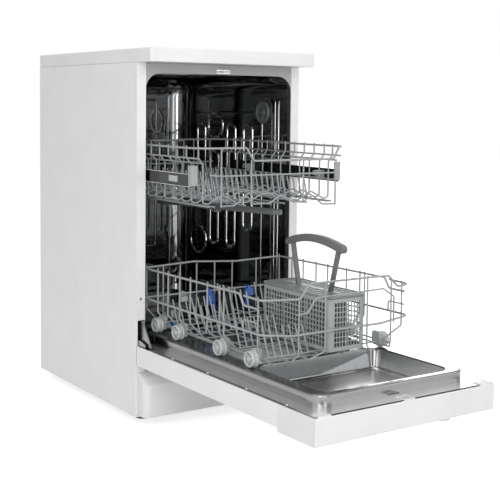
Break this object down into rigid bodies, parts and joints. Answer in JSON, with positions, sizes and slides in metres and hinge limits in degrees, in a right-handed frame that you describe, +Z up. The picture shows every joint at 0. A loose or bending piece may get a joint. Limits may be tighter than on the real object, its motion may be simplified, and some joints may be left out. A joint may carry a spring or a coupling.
{
  "type": "dishwasher",
  "caption": "Slimline free-standing dishwasher with the door lying open, both wire baskets drawn out, wheels, rails, spray arms, cutlery basket, filter and a plinth on screw feet",
  "frame": {"origin": "on the floor, under the middle of the cabinet's front flanges", "axes": "X across the front to the right, Y from the front to the back, Z up"},
  "size_m": [0.448, 1.2138, 0.85],
  "materials": {
    "worktop_laminate": "laminated",
    "white_enamel": "satin",
    "stainless_tub": "polished",
    "stainless_door": "satin",
    "zinc_steel": "satin",
    "grey_seal": "matte",
    "white_plastic": "gloss",
    "plinth_plastic": "matte",
    "dark_plastic": "matte",
    "grey_plastic": "matte",
    "wheel_plastic": "matte",
    "blue_plastic": "gloss",
    "coated_wire": "satin",
    "ballast": "cast"
  },
  "bodies": {
    "cabinet": {"worktop": "worktop_laminate", "side_panel_left": "white_enamel", "side_panel_right": "white_enamel", "back_panel": "zinc_steel", "base_tray": "dark_plastic", "plinth": "plinth_plastic", "feet": "dark_plastic", "counterweight": "ballast", "tub_wrap": "stainless_tub", "tub_back_wall": "stainless_tub", "tub_floor": "stainless_tub", "front_frame": "white_enamel", "door_seal": "grey_seal", "rail_brackets": "grey_plastic", "feed_pipe": "grey_plastic", "vent_cap": "grey_plastic", "filter_plate": "stainless_tub", "softener": "white_plastic", "sump": "dark_plastic", "pumps": "dark_plastic", "inlet_valve": "white_plastic", "drain_outlet": "grey_plastic", "hinge_brackets": "zinc_steel", "door_springs": "zinc_steel", "latch_strike": "zinc_steel", "cabinet_screws": "zinc_steel", "cable_gland": "dark_plastic"},
    "rollers": {"rail_rollers": "grey_plastic"},
    "filter": {"filter_cylinder": "blue_plastic"},
    "salt_lid": {"salt_cap": "grey_plastic"},
    "lower_arm": {"lower_spray_arm": "grey_plastic"},
    "door": {"door_outer_panel": "white_enamel", "door_liner": "stainless_door", "control_fascia": "white_plastic", "door_latch": "dark_plastic", "dispenser_body": "grey_plastic", "hinge_arms": "zinc_steel", "door_screws": "zinc_steel"},
    "hook": {"latch_hook": "zinc_steel"},
    "cup_lid": {"dispenser_lid": "grey_plastic"},
    "rinse_cap": {"rinse_aid_cap": "grey_plastic"},
    "knob": {"programme_knob": "white_plastic"},
    "button_power": {"power_button": "grey_plastic"},
    "button_start": {"start_button": "grey_plastic"},
    "lower_rack": {"lower_basket": "coated_wire", "tine_clips": "blue_plastic", "wheel_brackets": "wheel_plastic"},
    "tine_row": {"fold_tines": "coated_wire"},
    "wheels_1": {"lower_wheels_1": "wheel_plastic"},
    "wheels_2": {"lower_wheels_2": "wheel_plastic"},
    "wheels_3": {"lower_wheels_3": "wheel_plastic"},
    "wheels_4": {"lower_wheels_4": "wheel_plastic"},
    "cutlery": {"cutlery_basket": "grey_plastic", "cutlery_lid": "grey_plastic", "cutlery_handle": "grey_plastic"},
    "upper_rack": {"upper_basket": "coated_wire", "upper_rails": "zinc_steel", "rail_stops": "white_plastic", "upper_arm_feed": "grey_plastic"},
    "upper_arm": {"upper_spray_arm": "grey_plastic"}
  },
  "joints": [
    {"name": "door_hinge", "type": "hinge", "parent": "cabinet", "child": "door", "pos_m": [0, -0.0213, 0.1803], "axis": [-1, 0, 0], "range_deg": [0, 12]},
    {"name": "latch_hook_slide", "type": "slide", "parent": "door", "child": "hook", "axis": [0, 0, -1], "range_m": [0, 0.004], "stiffness_N_per_m": 400},
    {"name": "dispenser_lid_slide", "type": "slide", "parent": "door", "child": "cup_lid", "axis": [1, 0, 0], "range_m": [0, 0.055]},
    {"name": "rinse_cap_turn", "type": "hinge", "parent": "door", "child": "rinse_cap", "pos_m": [0.048, -0.308, 0.205], "axis": [0, 0, 1], "range_deg": [0, 90]},
    {"name": "knob_turn", "type": "hinge", "parent": "door", "child": "knob", "pos_m": [0.128, -0.606, 0.125], "axis": [0, 0, 1], "continuous": true},
    {"name": "power_button_press", "type": "slide", "parent": "door", "child": "button_power", "axis": [0, 0, 1], "range_m": [0, 0.003], "stiffness_N_per_m": 500},
    {"name": "start_button_press", "type": "slide", "parent": "door", "child": "button_start", "axis": [0, 0, 1], "range_m": [0, 0.003], "stiffness_N_per_m": 500},
    {"name": "lower_basket_slide", "type": "slide", "parent": "door", "child": "lower_rack", "axis": [0, -1, 0], "range_m": [-0.445, 0]},
    {"name": "fold_tines_turn", "type": "hinge", "parent": "lower_rack", "child": "tine_row", "pos_m": [-0.016, -0.1, 0.2324], "axis": [0, 1, 0], "range_deg": [0, 76]},
    {"name": "cutlery_lift", "type": "slide", "parent": "lower_rack", "child": "cutlery", "axis": [0, 0, 1], "range_m": [0, 0.12]},
    {"name": "wheels_1_spin", "type": "hinge", "parent": "lower_rack", "child": "wheels_1", "pos_m": [0, -0.004, 0.226], "axis": [1, 0, 0], "continuous": true},
    {"name": "wheels_2_spin", "type": "hinge", "parent": "lower_rack", "child": "wheels_2", "pos_m": [0, -0.0956, 0.226], "axis": [1, 0, 0], "continuous": true},
    {"name": "wheels_3_spin", "type": "hinge", "parent": "lower_rack", "child": "wheels_3", "pos_m": [0, -0.2655, 0.226], "axis": [1, 0, 0], "continuous": true},
    {"name": "wheels_4_spin", "type": "hinge", "parent": "lower_rack", "child": "wheels_4", "pos_m": [0, -0.3804, 0.226], "axis": [1, 0, 0], "continuous": true},
    {"name": "upper_basket_slide", "type": "slide", "parent": "cabinet", "child": "upper_rack", "axis": [0, 1, 0], "range_m": [-0.11, 0.218]},
    {"name": "rail_rollers_spin", "type": "hinge", "parent": "cabinet", "child": "rollers", "pos_m": [0, 0.05, 0.5675], "axis": [1, 0, 0], "continuous": true},
    {"name": "upper_arm_spin", "type": "hinge", "parent": "upper_rack", "child": "upper_arm", "pos_m": [0.003, 0.022, 0.487], "axis": [0, 0, 1], "continuous": true},
    {"name": "lower_arm_spin", "type": "hinge", "parent": "cabinet", "child": "lower_arm", "pos_m": [0, 0.262, 0.2045], "axis": [0, 0, 1], "continuous": true},
    {"name": "filter_turn", "type": "hinge", "parent": "cabinet", "child": "filter", "pos_m": [-0.08, 0.108, 0.14], "axis": [0, 0, 1], "range_deg": [0, 60]},
    {"name": "salt_cap_turn", "type": "hinge", "parent": "cabinet", "child": "salt_lid", "pos_m": [0.095, 0.108, 0.18], "axis": [0, 0, 1], "continuous": true}
  ],
  "couplings": [
    {"joint": "wheels_1_spin", "follows": "lower_basket_slide", "rad_per_m": 55.866},
    {"joint": "wheels_2_spin", "follows": "lower_basket_slide", "rad_per_m": 55.866},
    {"joint": "wheels_3_spin", "follows": "lower_basket_slide", "rad_per_m": 55.866},
    {"joint": "wheels_4_spin", "follows": "lower_basket_slide", "rad_per_m": 55.866},
    {"joint": "rail_rollers_spin", "follows": "upper_basket_slide", "rad_per_m": -76.923}
  ]
}
